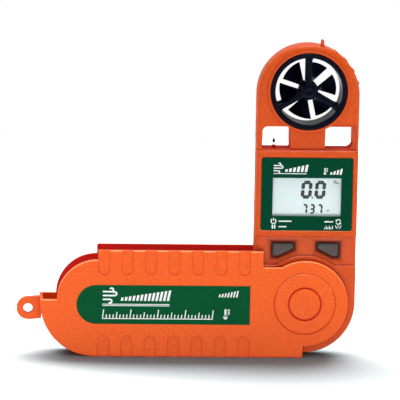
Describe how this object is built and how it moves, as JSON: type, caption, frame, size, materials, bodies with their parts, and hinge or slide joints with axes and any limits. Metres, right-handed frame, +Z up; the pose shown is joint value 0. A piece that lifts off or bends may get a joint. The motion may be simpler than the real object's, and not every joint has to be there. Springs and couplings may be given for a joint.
{
  "type": "handheld weather meter",
  "caption": "Slim anemometer with a vane wheel, a thermistor window and a small display, which folds on a pivot into a flat slotted case with a lanyard lug.",
  "frame": {"origin": "under the middle of the object, on the flat lower edge of the case that it stands on", "axes": "+Z up along the standing meter, +X to the right along the case, from the lanyard lug towards the pivot, +Y away from the display, through the thickness"},
  "size_m": [0.1432, 0.0186, 0.1354],
  "materials": {
    "case_orange": "satin moulded plastic",
    "meter_orange": "satin moulded plastic",
    "printed_green": "satin printed film",
    "vane_black": "satin moulded plastic",
    "key_grey": "soft touch",
    "clear_lens": "clear polished",
    "lcd_glass": "matt reflective",
    "steel": "plated",
    "spring_metal": "plated",
    "jewel": "polished",
    "board_green": "solder mask",
    "chip_black": "matt",
    "seal_rubber": "matt",
    "washer_nylon": "natural",
    "magnet_black": "sintered"
  },
  "bodies": {
    "case": {"case_front_cover": "case_orange", "case_rear_shell": "case_orange", "case_label": "printed_green", "pivot_sleeve": "steel", "pivot_screw": "steel", "pivot_nut": "steel", "pivot_front_cap": "case_orange", "pivot_rear_cap": "case_orange", "pivot_washer": "washer_nylon", "pivot_spring_washer": "washer_nylon"},
    "meter": {"meter_front_shell": "meter_orange", "meter_rear_shell": "meter_orange", "shell_gasket": "seal_rubber", "shell_screws": "steel", "display_overlay": "printed_green", "display_lens": "clear_lens", "lcd_panel": "lcd_glass", "lcd_connectors": "seal_rubber", "circuit_board": "board_green", "main_chip": "chip_black", "board_components": "chip_black", "dome_switches": "steel", "battery": "steel", "battery_minus_contact": "spring_metal", "battery_plus_contact": "spring_metal", "battery_seal": "seal_rubber", "vane_ring": "vane_black", "vane_rear_guard": "vane_black", "vane_front_bearing": "jewel", "vane_rear_bearing": "jewel", "speed_sensor": "chip_black", "sensor_leads": "spring_metal", "thermistor_bead": "chip_black", "thermistor_leads": "steel", "thermistor_boot": "meter_orange"},
    "rotor": {"impeller": "vane_black", "impeller_shaft": "steel", "impeller_magnet": "magnet_black"},
    "left_key": {"left_button": "key_grey"},
    "right_key": {"right_button": "key_grey"},
    "cell_lid": {"battery_cover": "meter_orange"}
  },
  "joints": [
    {"name": "meter_fold", "type": "hinge", "parent": "case", "child": "meter", "pos_m": [0.05013, 0, 0.0233], "axis": [0, 1, 0], "range_deg": [-90, 90]},
    {"name": "vane_spin", "type": "hinge", "parent": "meter", "child": "rotor", "pos_m": [0.05013, 0, 0.1136], "axis": [0, 1, 0], "continuous": true},
    {"name": "left_press", "type": "slide", "parent": "meter", "child": "left_key", "axis": [0, 1, 0], "range_m": [0, 0.0005], "stiffness_N_per_m": 1500},
    {"name": "right_press", "type": "slide", "parent": "meter", "child": "right_key", "axis": [0, 1, 0], "range_m": [0, 0.0005], "stiffness_N_per_m": 1500},
    {"name": "battery_lid_turn", "type": "hinge", "parent": "meter", "child": "cell_lid", "pos_m": [0.05013, 0.006, 0.0673], "axis": [0, 1, 0], "range_deg": [0, 45]}
  ]
}
